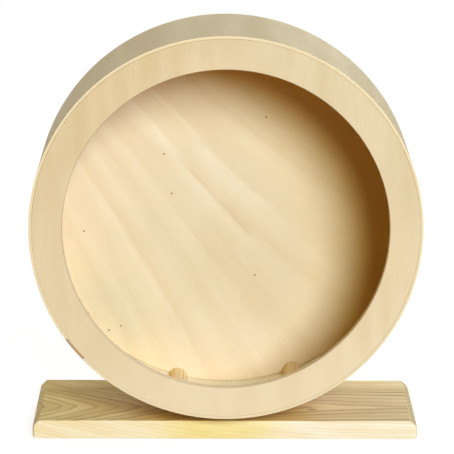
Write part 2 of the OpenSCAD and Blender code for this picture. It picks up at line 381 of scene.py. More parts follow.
# The rings of a trunk that tapers and bends. The place runs along the trunk, then across the
# board's face, then down to the pith, which lies Pith below the face. Ridge sharpens the figure's
# points and POINT_ROUND blunts them, and the late wood fills the end of each ring.
POINT_ROUND = math.sqrt(2e-6)
LATE_START, LATE_FULL, LATE_EDGE = 0.42, 0.88, 0.90
trunk_rings, given, made = start_group(
    "trunk_rings",
    {"Place": None, "Pith": 0.14, "Ridge": 0.025, "Bow": 0.4, "Bow Middle": 0.14,
     "Ring Width": 0.0028, "Sway": 0.0055, "Seed": 0.0},
    ("Latewood", "Fibre", "Fleck", "Streak"))
tree = trunk_rings
waves = drawn_noise(tree, given["Place"], (9, 20, 20), 2.0, 0.45, given["Seed"], output=1)
place = sway(tree, given["Place"], waves,
             join(tree, 0.0, given["Sway"], times(tree, given["Sway"], 0.6)))
along, across, depth = split(tree, place)
from_pith = plus(tree, depth, given["Pith"])
across = measure(tree, "LENGTH", join(tree, across, POINT_ROUND))
across = plus(tree, across, given["Ridge"])
radius = measure(tree, "LENGTH", join(tree, across, from_pith))
from_bow = minus(tree, along, given["Bow Middle"])
bow = times(tree, times(tree, from_bow, from_bow), given["Bow"])
rings = over(tree, minus(tree, radius, bow), given["Ring Width"])
wobble = drawn_noise(tree, place, (12, 90, 90), 2.0, 0.5, 3.1)
rings = plus(tree, rings, times(tree, wobble, 0.45))
years = noise(tree, join(tree, 0.0, 0.0, times(tree, rings, 0.33)), 1, 1.0, 0.5, 6.6)
rings = plus(tree, rings, times(tree, years, 1.6))
growth = calc(tree, "FRACT", rings)
rise = fade(tree, growth, LATE_START, LATE_FULL)
late = times(tree, times(tree, rise, rise), fade(tree, growth, LATE_EDGE, 1.0, 1.0, 0.0))
strength = times(tree, drawn_noise(tree, place, (7, 40, 40), 1.0, 0.5, 7.7), 1.7)
strength = plus(tree, strength, -0.15)
ring_number = plus(tree, calc(tree, "FLOOR", rings), plus(tree, given["Seed"], 3.0))
each = add_node(tree, "TexWhiteNoise", noise_dimensions="1D", W=ring_number).outputs[0]
strength = times(tree, strength, fade(tree, each, 0.1, 0.8, 0.6, 1.2))
fill(tree, made["Latewood"], calc(tree, "MULTIPLY", late, strength, clamp=True))
fill(tree, made["Fibre"], drawn_noise(tree, place, (90, 2400, 2400), 3.0, 0.6, 1.3))
fleck = drawn_noise(tree, place, (260, 1500, 1500), 1.0, 0.5, 5.9)
fill(tree, made["Fleck"], fade(tree, fleck, 0.69, 0.76))
streak = join(tree, times(tree, along, 15), times(tree, rings, 0.45), times(tree, across, 25))
fill(tree, made["Streak"], noise(tree, streak, 1, 2.0, 0.55, 9.2))


def lay_trunk(tree, turn):
    """The object's place as the trunk has it, by the rows of turn."""
    place = own_place(tree)
    return join(tree, *(plus(tree, measure(tree, "DOT_PRODUCT", place, tuple(row[:3])), row[3])
                        for row in turn[:3]))


def end_grain(tree, grain):
    """Where the wood is cut across its grain: 0 on the long faces, 1 on the ends."""
    facing = add_node(tree, "TexCoord").outputs["Normal"]
    return fade(tree, size_of(tree, measure(tree, "DOT_PRODUCT", facing, grain)), 0.72, 0.95)


# The tint of the light that bare wood passes on to the faces about it: a painted tint that deepens
# and warms their shade.
BOUNCE_SHADE_TINT = (0.89, 0.57, 0.08, 1)
RELIEF = 0.0002
DRY_SHINE = 0.3


def bare_wood(tree, colour, rough, height, strength, glow=BOUNCE_SHADE_TINT):
    """Unvarnished wood with a fine relief. The light that it passes on to the faces about it is
    tinted with glow, a painted tint that deepens and warms their shade."""
    bump = add_node(tree, "Bump", Strength=strength, Distance=RELIEF, Height=height)
    bounced = add_node(tree, "LightPath").outputs["Is Diffuse Ray"]
    colour = mix_colour(tree, bounced, colour, glow, "MULTIPLY")
    finish_material(tree, add_node(
        tree, "BsdfPrincipled", Base_Color=colour, Roughness=rough, Normal=bump.outputs[0],
        Specular_IOR_Level=DRY_SHINE))


def pine_surface(tree, wood, pale, mid, dark, late_share, ends):
    """Planed pine from a trunk's marks. Late wood stands a little proud and shines a bit more."""
    colour = mix_colour(tree, fade(tree, wood["Streak"], 0.36, 0.64), pale, mid)
    late = times(tree, wood["Latewood"], late_share)
    colour = mix_colour(tree, late, colour, dark)
    fibre = fade(tree, wood["Fibre"], 0.30, 0.70)
    colour = mix_colour(tree, times(tree, fibre, 0.22), colour, mid, "MULTIPLY")
    colour = mix_colour(tree, times(tree, wood["Fleck"], 0.6), colour, dark, "MULTIPLY")
    colour = mix_colour(tree, ends, colour, paint(196, 178, 136), "MULTIPLY")
    height = plus(tree, times(tree, wood["Latewood"], 0.6), times(tree, fibre, 0.4))
    bare_wood(tree, colour, minus(tree, 0.62, times(tree, late, 0.12)), height, 0.25)


BOARD = Vector((0.300, 0.103, 0.015))
END_CHAMFER = 0.005
LOWER_ROUND = 0.0026
CORNER_CUT = 0.001
BOARD_EASE = 0.0005
# How near to a face a point counts as being on it.
SKIN = 0.0003
RESIN_PLACE = Vector((-0.006, 0.007))
RESIN_PER_METRE = Vector((19, 70))
KNOT = Vector((0.0688, -0.0237))
KNOT_SIZE = Vector((0.0046, 0.0023))
# Each tone from the left end to the right, first on the sawn edges and then on the top. The top's
# tones are darker and more saturated than the edges': painted shade.
BOARD_TONES = {
    "pale": (paint(255, 248, 216), paint(255, 254, 234),
             paint(234, 216, 154), paint(249, 233, 185)),
    "mid": (paint(250, 236, 190), paint(252, 243, 210),
            paint(214, 193, 127), paint(235, 216, 165)),
    "dark": (paint(206, 170, 110), paint(206, 170, 110),
             paint(152, 120, 60), paint(184, 150, 94))}
RESIN_TONES = {"pale": paint(250, 240, 144), "mid": paint(245, 232, 132)}
# The painted shade beneath the wheel.
UNDER_WHEEL_PAINTED_SHADE = paint(246, 231, 188)
# The painted shade on the right chamfer.
RIGHT_CHAMFER_PAINTED_SHADE = paint(222, 221, 214)
KNOT_BROWN = paint(116, 80, 36)
base_board = block("pine_base_board", (0, 0, BOARD.z / 2), BOARD)
open_piece(base_board)
plane_edges(END_CHAMFER, 1, lambda ends: end_edge(ends, BOARD.z))
plane_edges(LOWER_ROUND, 3, lambda ends: end_edge(ends, 0))
for way_x, way_y in ((-1, -1), (-1, 1), (1, -1), (1, 1)):
    saw((way_x * BOARD.x / 2, way_y * (BOARD.y / 2 - CORNER_CUT), 0), (way_x, way_y, 0),
        use_fill=True, clear_outer=True)
close_piece()
ease_edges(base_board, BOARD_EASE)
board_turn = Matrix(((1, 0, 0, 0), (0, 1, 0, 0.018), (0, 0, 1, -BOARD.z), (0, 0, 0, 1)))
board_pine, tree = new_material("board_pine")
wood = use_group(tree, trunk_rings, Place=lay_trunk(tree, board_turn), Seed=0.0)
x, y, z = split(tree, own_place(tree))
sawn_edge = above(tree, size_of(tree, y), BOARD.y / 2 - SKIN)
late_share = minus(tree, 0.85, times(tree, sawn_edge, 0.60))
# The top and the chamfers, whose tones are painted darker as shade.
top_and_chamfers = times(tree, above(tree, z, BOARD.z - END_CHAMFER + SKIN), minus(tree, 1.0, sawn_edge))
top_and_chamfers = calc(tree, "MAXIMUM", top_and_chamfers, above(tree, z, BOARD.z - SKIN))
# Paler towards the right end, much more on the top than on the edges.
toward_right_end = fade(tree, x, -0.05, 0.11)
from_patch = measure(tree, "LENGTH", join(
    tree, times(tree, minus(tree, x, RESIN_PLACE.x), RESIN_PER_METRE.x),
    times(tree, minus(tree, z, RESIN_PLACE.y), RESIN_PER_METRE.y)))
from_patch = plus(tree, from_patch, times(tree, wood["Streak"], 0.8))
resin = times(tree, fade(tree, from_patch, 0.8, 1.6, 0.6, 0.0), sawn_edge)
# Painted shade: the top is tinted darker and browner beneath the wheel.
under_wheel_shade = times(tree, fade(tree, size_of(tree, x), 0.045, 0.085, 1.0, 0.0), top_and_chamfers)
# Painted shade: the right chamfer is darkened, to even out the light of the lamps at the right.
right_chamfer_shade = times(tree, top_and_chamfers, above(tree, x, BOARD.x / 2 - END_CHAMFER + SKIN))
from_knot = measure(tree, "LENGTH", join(
    tree, over(tree, minus(tree, x, KNOT.x), KNOT_SIZE.x),
    over(tree, minus(tree, y, KNOT.y), KNOT_SIZE.y)))
knot = times(tree, fade(tree, from_knot, 0.3, 1.1, 0.70, 0.0), top_and_chamfers)
tones = {name: mix_colour(tree, top_and_chamfers, mix_colour(tree, toward_right_end, edge_left, edge_right),
                          mix_colour(tree, toward_right_end, top_left, top_right))
         for name, (edge_left, edge_right, top_left, top_right) in BOARD_TONES.items()}
for name, resin_tone in RESIN_TONES.items():
    colour = mix_colour(tree, resin, tones[name], resin_tone)
    colour = mix_colour(tree, under_wheel_shade, colour, UNDER_WHEEL_PAINTED_SHADE, "MULTIPLY")
    colour = mix_colour(tree, right_chamfer_shade, colour, RIGHT_CHAMFER_PAINTED_SHADE, "MULTIPLY")
    tones[name] = mix_colour(tree, knot, colour, KNOT_BROWN)
pine_surface(tree, wood, **tones, late_share=late_share, ends=end_grain(tree, (1, 0, 0)))
dress(base_board, board_pine)
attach(base_board, "stand")
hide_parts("base_board")

# Upright post: a second pine board, its grain upright. Its sides lean in to a round top about the
# axle, and it is bored from both faces for the bearings and from the back for three screws.
AXLE_Z = 0.171
POST_FRONT, POST_BACK = 0.0515, 0.0695
POST_FOOT = 0.110
POST_TOP_R = 0.034
POST_EASE = 0.0006
BEARING_BORE_R = 0.01105
SHOULDER_R = 0.0085
BEARING_WIDTH = 0.007
POST_SCREWS = [(x, 0.0075) for x in (-0.040, 0, 0.040)]
POST_SCREW_HOLE = {"head_r": 0.00445, "shank_r": 0.00225, "length": 0.03}
HEAD_SINK = 0.0004
OVERRUN = 0.001


def bar_along_axle(radius, y_from, y_to, points=96, at=(0, AXLE_Z), name="round_bar"):
    """Adds a plain round bar that runs as the wheel's axle does, to be shaped or to cut with."""
    select_nothing()
    bpy.ops.mesh.primitive_cylinder_add(
        vertices=points, radius=radius, depth=y_to - y_from,
        location=(at[0], (y_from + y_to) / 2, at[1]), rotation=(math.pi / 2, 0, 0))
    return name_piece(name)


def screw_cutter(x, z, y_back, head_r, shank_r, length):
    """A bar with a cone at its back end, in the shape of a countersunk screw's hole."""
    cutter = bar_along_axle(head_r, y_back - length, y_back + OVERRUN, 32, (x, z))
    rim = y_back - HEAD_SINK
    neck = rim - (head_r - shank_r)
    open_piece(cutter)
    saw((0, rim, 0), (0, 1, 0))
    saw((0, neck, 0), (0, 1, 0))
    pick("VERT", lambda ends: ends[0].y < neck + TOUCH)
    share = shank_r / head_r
    bpy.ops.transform.resize(value=(share, 1, share), center_override=(x, 0, z))
    close_piece()
    return cutter


def cut_away(piece, *cutters):
    """Cuts the cutters' shapes out of the piece, and throws the cutters away."""
    for cutter in cutters:
        apply_modifier(piece, "BOOLEAN", operation="DIFFERENCE", object=cutter, solver="EXACT")
        bpy.data.objects.remove(cutter)


lean = math.atan2(AXLE_Z, POST_FOOT / 2)
tangent = math.acos(POST_TOP_R / math.hypot(AXLE_Z, POST_FOOT / 2)) - lean
half_top = POST_TOP_R * math.tan((math.pi / 2 - tangent) / 2)
post_height = AXLE_Z + POST_TOP_R
post = block("pine_post", (0, (POST_FRONT + POST_BACK) / 2, post_height / 2),
             (POST_FOOT, POST_BACK - POST_FRONT, post_height))
open_piece(post)
pick("FACE", lambda ends: all(p.z > post_height - TOUCH for p in ends))
bpy.ops.transform.resize(value=(2 * half_top / POST_FOOT, 1, 1),
                         center_override=(0, 0, post_height))
pick("EDGE", lambda ends: end_edge(ends, post_height))
bpy.ops.mesh.bevel(offset=half_top, segments=32, profile=0.5, clamp_overlap=False)
merge_points(0.0001)
close_piece()
ease_edges(post, POST_EASE)
cut_away(post,
         bar_along_axle(BEARING_BORE_R, POST_FRONT - OVERRUN, POST_FRONT + BEARING_WIDTH),
         bar_along_axle(BEARING_BORE_R, POST_BACK - BEARING_WIDTH, POST_BACK + OVERRUN),
         bar_along_axle(SHOULDER_R, POST_FRONT, POST_BACK),
         *(screw_cutter(x, z, POST_BACK, **POST_SCREW_HOLE) for x, z in POST_SCREWS))
post_turn = Matrix(((0, 0, 1, -0.10), (1, 0, 0, 0.008), (0, -1, 0, POST_FRONT), (0, 0, 0, 1)))
post_pine, tree = new_material("post_pine")
wood = use_group(tree, trunk_rings, Place=lay_trunk(tree, post_turn), Pith=0.09, Ridge=0.004,
                 Bow=0.5, Bow_Middle=0.03, Sway=0.006, Seed=4.0)
pine_surface(tree, wood, pale=paint(250, 236, 196), mid=paint(241, 221, 174),
             dark=paint(200, 163, 103), late_share=0.75, ends=end_grain(tree, (0, 0, 1)))
dress(post, post_pine)
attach(post, "stand")
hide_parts("upright_post")

# Birch veneer: peeled from the log, so its figure is broad and faint, with fine short fibres and
# a few pin marks. The place runs along the grain, then across it, then into the sheet.


def by_fibre(tree, place, length, width):
    """A place counted in fibres: along the grain by their length, across it by their width."""
    return calc_place(tree, "DIVIDE", place, join(tree, length, width, width))


birch_veneer, given, made = start_group(
    "birch_veneer",
    {"Place": None, "Figure Length": 0.30, "Figure Width": 0.020, "Fibre Length": 0.006,
     "Fibre Width": 0.0005, "Seed": 0.0},
    ("Figure", "Fibre", "Speck", "Blotch"))
tree = birch_veneer
waves = noise(tree, given["Place"], 12, 1.0, 0.5, given["Seed"], output=1)
place = sway(tree, given["Place"], waves, (0, 0.012, 0.012))
figure = noise(tree, by_fibre(tree, place, given["Figure Length"], given["Figure Width"]),
               1, 2.0, 0.5, given["Seed"])
fill(tree, made["Figure"], fade(tree, figure, 0.3, 0.7))
fibre = noise(tree, by_fibre(tree, place, given["Fibre Length"], given["Fibre Width"]),
              1, 3.0, 0.6, 2.2)
fill(tree, made["Fibre"], fibre)
along, across, depth = split(tree, place)
pins = add_node(tree, "TexVoronoi", Vector=join(tree, along, across, given["Seed"]), Scale=34.0)
big_enough = fade(tree, split(tree, pins.outputs["Color"])[0], 0.45, 0.95)
reach = over(tree, pins.outputs["Distance"], plus(tree, big_enough, 0.0001))
fill(tree, made["Speck"], fade(tree, reach, 0.012, 0.024, 1.0, 0.0))
fill(tree, made["Blotch"], noise(tree, given["Place"], 22, 3.0, 0.5, 8.1))

# Plywood edge: thin layers with their grain turned by a right angle from one to the next, and a
# dark line of glue between them. Depth runs through the sheet.
ply_edge, given, made = start_group(
    "ply_edge", {"Place": None, "Depth": 0.0, "Thickness": 0.006, "Layers": 3.0},
    ("Cross", "Glue"))
tree = ply_edge
wander = times(tree, minus(tree, noise(tree, given["Place"], 60, 2.0, 0.5, 6.0), 0.5), 0.35)
level = times(tree, over(tree, given["Depth"], given["Thickness"]), given["Layers"])
level = plus(tree, level, wander)
half = calc(tree, "FRACT", times(tree, level, 0.5))
fill(tree, made["Cross"], above(tree, half, 0.5))
from_middle = size_of(tree, minus(tree, calc(tree, "FRACT", level), 0.5))
fill(tree, made["Glue"], fade(tree, from_middle, 0.40, 0.50))


def birch_colours(tree, wood, pale, mid, dark, fibre_share, speck_share):
    """Colour and height of a birch face from its veneer's marks, and its fibres."""
    colour = mix_colour(tree, wood["Figure"], pale, mid)
    colour = mix_colour(tree, times(tree, fade(tree, wood["Blotch"], 0.35, 0.7), 0.4), colour, mid)
    fibre = fade(tree, wood["Fibre"], 0.35, 0.75)
    colour = mix_colour(tree, times(tree, fibre, fibre_share), colour, dark)
    colour = mix_colour(tree, times(tree, wood["Speck"], speck_share), colour, paint(112, 84, 52))
    return colour, minus(tree, times(tree, fibre, -0.6), wood["Speck"]), fibre


def show_layers(tree, colour, rim, layers, cross_share, glue_share, pale, dark, glue):
    """The face's colour, and at the rim the plywood's layers with the glue between them."""
    edge = mix_colour(tree, times(tree, layers["Cross"], cross_share), pale, dark)
    edge = mix_colour(tree, times(tree, layers["Glue"], glue_share), edge, glue)
    return mix_colour(tree, rim, colour, edge)


def birch_surface(tree, colour, height, fibre, glow=BOUNCE_SHADE_TINT):
    """Dry sanded birch: dull, and a little rougher in its fibres."""
    bare_wood(tree, colour, plus(tree, 0.6, times(tree, fibre, 0.1)), height, 0.2, glow)


# Running track: a strip of thin bendy plywood. It is cut to length with a long slant at each end,
# bent once round the ring and the disc, and its slanted ends are glued over each other at the
# lower left.
WHEEL_R = 0.150
TRACK_T = 0.002
TRACK_EASE = 0.0003
TRACK_SLICES = 367
WHEEL_FRONT, WHEEL_BACK = -0.0655, 0.0345
LAP_ANGLE = -51.0
LAP_LENGTH = 0.020
LAP_HALF = math.degrees(LAP_LENGTH / WHEEL_R) / 2
LAP_TIP = 0.0004
GLUE_HALF = 0.000075
GLUE_ANGLE = math.degrees(GLUE_HALF / WHEEL_R)
RIM_SKIN = 0.0004
LINE_FADE = (0.0001, 0.0004)
LAP_BLUR = 0.0005
SMEAR_START, SMEAR_FULL = -0.0005, 0.0035
BUTT_DEPTH = 0.0009
strip_turn = 360 + 2 * LAP_HALF - 2 * GLUE_ANGLE
middle_r = WHEEL_R - TRACK_T / 2
strip_half = middle_r * math.radians(strip_turn) / 2
strip_w = WHEEL_BACK - WHEEL_FRONT
lap_run = middle_r * math.radians(2 * LAP_HALF)
slant_tip = TRACK_T / 2 - LAP_TIP - GLUE_HALF
slope = (TRACK_T - 2 * LAP_TIP) / lap_run


def slant_cutter(turned):
    """A block whose underside lies on the slant of the strip's start, or turned, of its end."""
    reach = 0.003
    cutter = block("slant_cutter", ((lap_run - reach) / 2 - strip_half, reach / 2, 0),
                   (lap_run + reach, reach, strip_w * 1.2))
    for vertex in cutter.data.vertices:
        if vertex.co.y < TOUCH:
            vertex.co.y = -slant_tip + slope * (vertex.co.x + strip_half)
    if turned:
        cutter.data.transform(Matrix.Rotation(math.pi, 4, "Z"))
    return cutter


def about_axle(angle):
    """A turn of the wheel about its axle."""
    return (Matrix.Translation((0, 0, AXLE_Z)) @ Matrix.Rotation(angle, 4, "Y")
            @ Matrix.Translation((0, 0, -AXLE_Z)))


track = block("bent_track", (0, 0, 0), (2 * strip_half, TRACK_T, strip_w))
open_piece(track)
plane_edges(TRACK_EASE, 2, lambda ends: abs(ends[0].x - ends[1].x) > strip_half)
close_piece()
cut_away(track, slant_cutter(False), slant_cutter(True))
open_piece(track)
for i in range(1, TRACK_SLICES):
    saw((strip_half * (2 * i / TRACK_SLICES - 1), 0, 0), (1, 0, 0))
close_piece()
flat = track.data.attributes.new("flat_place", "FLOAT_VECTOR", "POINT")
for vertex in track.data.vertices:
    flat.data[vertex.index].vector = vertex.co
apply_modifier(track, "SIMPLE_DEFORM", deform_method="BEND", deform_axis="Z",
               angle=math.radians(strip_turn))
first_angle = LAP_ANGLE - LAP_HALF + GLUE_ANGLE
stand_up = Matrix(((1, 0, 0, 0), (0, 0, -1, (WHEEL_FRONT + WHEEL_BACK) / 2),
                   (0, 1, 0, AXLE_Z - middle_r), (0, 0, 0, 1)))
track.data.transform(about_axle(-math.radians(first_angle + strip_turn / 2)) @ stand_up)
smooth_faces(track, 35)

bent_birch, tree = new_material("bent_birch")
place = add_node(tree, "Attribute", attribute_name="flat_place").outputs["Vector"]
length, depth, width = split(tree, place)
from_middle = size_of(tree, length)
wood = use_group(tree, birch_veneer, Place=join(tree, width, length, depth), Figure_Length=0.30,
                 Figure_Width=0.030, Fibre_Length=0.012, Fibre_Width=0.0006, Seed=2.0)
inside = above(tree, depth, 0.0)
# The inside is painted paler, as painted light, and the outside darker and greyer, as painted shade.
pale = mix_colour(tree, inside, paint(220, 206, 168), paint(253, 250, 226))
mid = mix_colour(tree, inside, paint(204, 188, 148), paint(246, 240, 210))
colour, height, fibre = birch_colours(tree, wood, pale, mid, dark=paint(176, 150, 108),
                                      fibre_share=0.20, speck_share=0.5)
layers = use_group(tree, ply_edge, Place=place, Depth=plus(tree, depth, TRACK_T / 2),
                   Thickness=TRACK_T, Layers=3.0)
rim = above(tree, size_of(tree, width), strip_w / 2 - RIM_SKIN)
colour = show_layers(tree, colour, rim, layers, cross_share=0.45, glue_share=0.35,
                     pale=paint(248, 236, 198), dark=paint(220, 198, 148),
                     glue=paint(150, 112, 70))
from_slants = []
for way in (1, -1):
    slant = times(tree, plus(tree, times(tree, length, way), strip_half), slope)
    slant = minus(tree, minus(tree, slant, slant_tip), times(tree, depth, way))
    from_slants.append(size_of(tree, slant))
to_glue = calc(tree, "MINIMUM", *from_slants)
lap_start = strip_half - LAP_LENGTH
near_lap = fade(tree, from_middle, lap_start - LAP_BLUR, lap_start + LAP_BLUR)
stain = times(tree, times(tree, near_lap, rim), 0.75)
smear = fade(tree, plus(tree, from_middle, times(tree, wood["Blotch"], 0.006)),
             strip_half + SMEAR_START, strip_half + SMEAR_FULL, 0.0, 0.45)
colour = mix_colour(tree, calc(tree, "MAXIMUM", stain, smear), colour, paint(196, 156, 108))
glued = times(tree, near_lap, fade(tree, to_glue, *LINE_FADE, 0.9, 0.0))
colour = mix_colour(tree, glued, colour, paint(112, 72, 38))
butt = above(tree, from_middle, strip_half - BUTT_DEPTH)
colour = mix_colour(tree, times(tree, butt, 0.8), colour, paint(70, 44, 22))
birch_surface(tree, colour, height, fibre)
dress(track, bent_birch)
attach(track, "wheel")
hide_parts("running_track")

# Front ring: thin plywood with a round opening, sanded soft round the opening's front edge, where
# the animal climbs in. It is glued inside the front of the track.
RING_OUTER_R = 0.14795
OPENING_R = 0.1245
RING_T = 0.006
OPENING_ROUND = 0.0005
RING_EASE = 0.0002
CUT_LINE_OUT = 0.0003
# Painted shade at the upper left and the upper right: the side, where it starts, where it is full,
# and its colour.
RING_PAINTED_SHADES = ((-1, 0.080, 0.135, paint(245, 242, 232)), (1, 0.070, 0.130, paint(248, 250, 249)))
SAWN_BROWN = paint(142, 112, 66)


def on_circle(ends, radius, y):
    """Whether an edge lies on the circle of this radius about the axle, at y."""
    return all(abs(p.y - y) < TOUCH and abs(math.hypot(p.x, p.z - AXLE_Z) - radius) < 10 * TOUCH
               for p in ends)


def by_axle(tree, x, z):
    """A point's height above the axle, and its distance from it."""
    up = minus(tree, z, AXLE_Z)
    return up, measure(tree, "LENGTH", join(tree, x, up))


ring = bar_along_axle(RING_OUTER_R, WHEEL_FRONT, WHEEL_FRONT + RING_T, 256, name="opening_ring")
open_piece(ring)
pick("FACE", lambda ends: max(p.y for p in ends) - min(p.y for p in ends) < TOUCH)
bpy.ops.mesh.inset(thickness=RING_OUTER_R - OPENING_R)
bpy.ops.mesh.bridge_edge_loops()
plane_edges(OPENING_ROUND, 3, lambda ends: on_circle(ends, OPENING_R, WHEEL_FRONT))
plane_edges(RING_EASE, 2, lambda ends: on_circle(ends, OPENING_R, WHEEL_FRONT + RING_T)
            or on_circle(ends, RING_OUTER_R, WHEEL_FRONT))
close_piece()
smooth_faces(ring)

ring_birch, tree = new_material("ring_birch")
place = own_place(tree)
x, y, z = split(tree, place)
up, from_axle = by_axle(tree, x, z)
wood = use_group(tree, birch_veneer, Place=join(tree, z, x, y), Figure_Length=0.10,
                 Figure_Width=0.016, Fibre_Length=0.007, Fibre_Width=0.0006, Seed=5.0)
colour, height, fibre = birch_colours(
    tree, wood, pale=paint(236, 222, 188), mid=paint(228, 211, 173), dark=paint(198, 168, 118),
    fibre_share=0.14, speck_share=0.35)
# Painted light: paler towards the bottom, as a bounce from the floor would make it.
colour = mix_colour(tree, fade(tree, up, -0.14, -0.06, 0.4, 0.0), colour, paint(248, 234, 200))
# Darkens the upper left and the upper right: painted shade.
for side, start, full, tint in RING_PAINTED_SHADES:
    upper = times(tree, plus(tree, up, times(tree, x, side)), math.sqrt(0.5))
    colour = mix_colour(tree, fade(tree, upper, start, full), colour, tint, "MULTIPLY")
layers = use_group(tree, ply_edge, Place=place, Depth=minus(tree, y, WHEEL_FRONT),
                   Thickness=RING_T, Layers=5.0)
rim = times(tree, calc(tree, "LESS_THAN", from_axle, OPENING_R + RIM_SKIN),
            above(tree, y, WHEEL_FRONT + RIM_SKIN))
colour = show_layers(tree, colour, rim, layers, cross_share=0.5, glue_share=0.35,
                     pale=paint(252, 238, 208), dark=paint(236, 214, 172),
                     glue=paint(170, 132, 86))
cut_line = fade(tree, size_of(tree, minus(tree, from_axle, OPENING_R + CUT_LINE_OUT)),
                *LINE_FADE, 0.35, 0.0)
glue_line = fade(tree, from_axle, RING_OUTER_R - 0.0006, RING_OUTER_R - 0.0002, 0.0, 0.15)
colour = mix_colour(tree, calc(tree, "MAXIMUM", cut_line, glue_line), colour, SAWN_BROWN)
birch_surface(tree, colour, height, fibre)
dress(ring, ring_birch)
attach(ring, "wheel")
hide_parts("front_ring")

# Back disc: thicker plywood that closes the drum, glued inside the back of the track. Its face
# veneer lies with the grain running down to the right.
DISC_FRONT = 0.0245
DISC_EASE = 0.0004
disc = bar_along_axle(RING_OUTER_R, DISC_FRONT, WHEEL_BACK, 256, name="plywood_back")
open_piece(disc)
plane_edges(DISC_EASE, 2, lambda ends: on_circle(ends, RING_OUTER_R, WHEEL_BACK)
            or on_circle(ends, RING_OUTER_R, DISC_FRONT))
close_piece()
smooth_faces(disc)

GRAIN_SLOPE = math.radians(47.2)
# How far the grain's lines bend aside, for x times x, x times up and up times up.
GRAIN_BEND = (-1.86, -0.03, 1.16)
VEIN_EDGE = 0.0022
VEIN_END = 0.016
# Each vein: its sharp edge, the width over which it fades away from that edge, its strength, and
# the stretch of the grain that it runs along.
DARK_VEINS = ((-0.118, 0.018, 0.30, -0.15, 0.00), (-0.086, 0.021, 0.50, -0.15, 0.15),
              (-0.055, 0.010, 0.15, -0.15, -0.04), (-0.038, 0.008, 0.50, -0.04, 0.03),
              (-0.039, 0.020, 0.30, 0.03, 0.15), (-0.023, 0.010, 0.30, -0.15, -0.04),
              (-0.0052, 0.015, 1.30, -0.05, 0.03), (-0.0062, 0.0045, 0.45, -0.05, 0.03),
              (0.000, 0.009, 0.40, 0.03, 0.11), (0.001, 0.010, 0.20, -0.15, -0.05),
              (0.026, 0.013, 0.30, -0.15, -0.03), (0.023, 0.006, 0.20, -0.03, 0.05))
PALE_VEINS = ((-0.085, -0.026, 0.70, -0.15, 0.03), (-0.055, -0.014, 0.30, -0.15, 0.03),
              (-0.047, -0.014, 0.55, 0.03, 0.15), (-0.005, -0.018, 0.40, -0.05, 0.03),
              (-0.015, -0.008, 0.55, 0.03, 0.15), (0.002, -0.012, 1.00, -0.15, -0.05),
              (0.023, -0.020, 1.00, -0.05, 0.03), (0.021, -0.012, 0.30, 0.03, 0.09),
              (0.026, -0.008, 0.80, -0.15, -0.05), (0.058, -0.030, 0.45, -0.05, 0.08))
# The share and the colour of the dark veins, and of the pale ones.
VEIN_COLOURS = ((DARK_VEINS, 0.26, paint(206, 176, 128)), (PALE_VEINS, 0.36, paint(250, 247, 226)))
# Each patch of painted shade: its middle across and up from the axle, its reach and its tint.
DISC_PAINTED_SHADES = ((-0.105, -0.100, 0.060, paint(244, 249, 252)),
                (-0.066, -0.066, 0.080, paint(251, 251, 248)),
                (0.024, -0.050, 0.066, paint(249, 246, 239)))
PIN_KNOTS = ((-0.0486, 0.0396), (0.0316, 0.0696), (0.0239, -0.0593), (-0.1123, -0.0234),
             (-0.0833, -0.1020), (-0.0930, -0.1054), (-0.0425, 0.0076))
PIN_R = 0.0010
# The disc's own, paler painted tint of the shade about it.
DISC_BOUNCE_SHADE_TINT = (0.98, 0.92, 0.75, 1)


def lay_veins(tree, across, along, veins):
    """The share of all the veins at a point."""
    total = 0.0
    for edge, width, strength, *stretch in veins:
        side = edge + math.copysign(VEIN_EDGE, width)
        vein = times(tree, fade(tree, across, edge, side, 0.0, strength),
                     fade(tree, across, side, edge + width, 1.0, 0.0))
        for end, before, after in zip(stretch, (0.0, 1.0), (1.0, 0.0)):
            vein = times(tree, vein, fade(tree, along, end - VEIN_END, end + VEIN_END,
                                          before, after))
        total = plus(tree, total, vein)
    return total


disc_birch, tree = new_material("disc_birch")
x, y, z = split(tree, own_place(tree))
up, from_axle = by_axle(tree, x, z)
face = join(tree, x, up)
along = minus(tree, times(tree, x, math.cos(GRAIN_SLOPE)), times(tree, up, math.sin(GRAIN_SLOPE)))
across = plus(tree, times(tree, x, math.sin(GRAIN_SLOPE)), times(tree, up, math.cos(GRAIN_SLOPE)))
for first, second, bend in zip((x, x, up), (x, up, up), GRAIN_BEND):
    across = plus(tree, across, times(tree, times(tree, first, second), bend))
wood = use_group(tree, birch_veneer, Place=join(tree, along, across, y), Figure_Length=0.40,
                 Figure_Width=0.020, Fibre_Length=0.008, Fibre_Width=0.0006, Seed=11.0)
colour, height, fibre = birch_colours(
    tree, wood, pale=paint(238, 231, 203), mid=paint(230, 220, 188), dark=paint(200, 170, 122),
    fibre_share=0.14, speck_share=0.5)
waver = drawn_noise(tree, join(tree, along, across), (26, 60, 1), 3.0, 0.55, 5.0)
veined = plus(tree, across, times(tree, minus(tree, waver, 0.5), 0.007))
broken = drawn_noise(tree, join(tree, along, across, 1.0), (45, 90, 1), 2.0, 0.5, 1.0)
broken = fade(tree, broken, 0.35, 0.65, 0.55, 1.0)
for veins, share, tone in VEIN_COLOURS:
    laid = times(tree, lay_veins(tree, veined, along, veins), broken)
    colour = mix_colour(tree, times(tree, laid, share), colour, tone)
glue_line = fade(tree, from_axle, RING_OUTER_R - 0.0008, RING_OUTER_R - 0.0002, 0.0, 0.4)
colour = mix_colour(tree, glue_line, colour, SAWN_BROWN)
